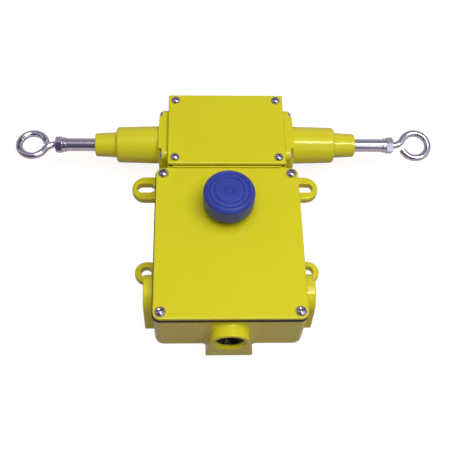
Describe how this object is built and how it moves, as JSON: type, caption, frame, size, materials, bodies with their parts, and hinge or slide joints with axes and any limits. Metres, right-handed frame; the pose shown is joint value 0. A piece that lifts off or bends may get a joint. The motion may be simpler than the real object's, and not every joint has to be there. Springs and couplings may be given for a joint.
{
  "type": "rope pull switch",
  "caption": "Cast two-compartment safety switch with a spring-centred through pull shaft, rope eyes at both ends, a mushroom reset button, mounting lugs and conduit hubs.",
  "frame": {"origin": "centre of the four mounting holes, on the back mounting face", "axes": "+X along the pull shaft, +Y from the wiring compartment to the mechanism compartment, +Z out of the covers"},
  "size_m": [0.4144, 0.2499, 0.0866],
  "materials": {
    "yellow_paint": "satin safety-yellow powder coat",
    "dark_rubber": "matt dark brown rubber",
    "chrome_screw": "bright nickel plate",
    "plated_steel": "bright zinc plate",
    "machined_steel": "turned steel",
    "spring_steel": "drawn wire and strip",
    "bronze": "turned bronze",
    "black_moulding": "matt thermoset",
    "white_nylon": "natural nylon",
    "blue_plastic": "semi-gloss moulded blue",
    "green_screw": "green dyed zinc plate"
  },
  "bodies": {
    "housing": {"body_casting": "yellow_paint", "main_cover": "yellow_paint", "mechanism_cover": "yellow_paint", "main_gasket": "dark_rubber", "mechanism_gasket": "dark_rubber", "main_cover_screws": "chrome_screw", "mechanism_cover_screws": "chrome_screw", "left_end_housing": "yellow_paint", "right_end_housing": "yellow_paint", "left_end_gasket": "dark_rubber", "right_end_gasket": "dark_rubber", "left_end_screws": "chrome_screw", "right_end_screws": "chrome_screw", "left_end_bush": "bronze", "right_end_bush": "bronze", "left_rod_seal": "dark_rubber", "right_rod_seal": "dark_rubber", "left_centring_spring": "spring_steel", "right_centring_spring": "spring_steel", "trip_pivot_pin": "machined_steel", "pivot_clip": "spring_steel", "chassis_plate": "machined_steel", "chassis_screws": "chrome_screw", "contact_block": "black_moulding", "block_screws": "chrome_screw", "fixed_contacts": "bronze", "terminal_screws": "chrome_screw", "latch_bracket": "machined_steel", "latch_pin": "machined_steel", "latch_spring": "spring_steel", "reset_bush": "bronze", "reset_seal": "dark_rubber", "reset_nut": "machined_steel", "reset_spring": "spring_steel", "ground_screw": "green_screw"},
    "pull_rod": {"pull_shaft": "plated_steel", "shift_collar": "machined_steel", "drive_pin": "machined_steel", "left_spring_seat": "machined_steel", "right_spring_seat": "machined_steel", "left_seat_clip": "spring_steel", "right_seat_clip": "spring_steel", "left_lock_washer": "plated_steel", "right_lock_washer": "plated_steel", "left_jam_nut": "plated_steel", "right_jam_nut": "plated_steel", "left_eye_bolt": "plated_steel", "right_eye_bolt": "plated_steel"},
    "trip_arm": {"trip_lever": "machined_steel", "tail_pin": "machined_steel"},
    "carriage": {"contact_carriage": "white_nylon", "moving_contacts": "bronze"},
    "reset": {"reset_button": "blue_plastic", "reset_stem": "machined_steel", "reset_clip": "spring_steel"},
    "latch": {"latch_lever": "machined_steel"}
  },
  "joints": [
    {"name": "pull_slide", "type": "slide", "parent": "housing", "child": "pull_rod", "axis": [1, 0, 0], "range_m": [-0.01, 0.01], "stiffness_N_per_m": 6000, "deforming": ["left_centring_spring", "right_centring_spring"]},
    {"name": "trip_arm_swing", "type": "hinge", "parent": "housing", "child": "trip_arm", "pos_m": [0, 0.056, 0.044], "axis": [0, 0, 1], "range_deg": [-22, 22]},
    {"name": "carriage_slide", "type": "slide", "parent": "housing", "child": "carriage", "axis": [1, 0, 0], "range_m": [-0.0115, 0.0115]},
    {"name": "reset_press", "type": "slide", "parent": "housing", "child": "reset", "axis": [0, 0, -1], "range_m": [0, 0.006], "stiffness_N_per_m": 1500, "springref_m": -0.004, "deforming": ["reset_spring"]},
    {"name": "latch_swing", "type": "hinge", "parent": "housing", "child": "latch", "pos_m": [0, 0.01, 0.024], "axis": [1, 0, 0], "range_deg": [0, 23], "deforming": ["latch_spring"]}
  ],
  "couplings": [
    {"joint": "trip_arm_swing", "follows": "pull_slide", "rad_per_m": -37},
    {"joint": "carriage_slide", "follows": "pull_slide", "ratio": -1.1},
    {"joint": "latch_swing", "follows": "reset_press", "rad_per_m": 62.89}
  ]
}
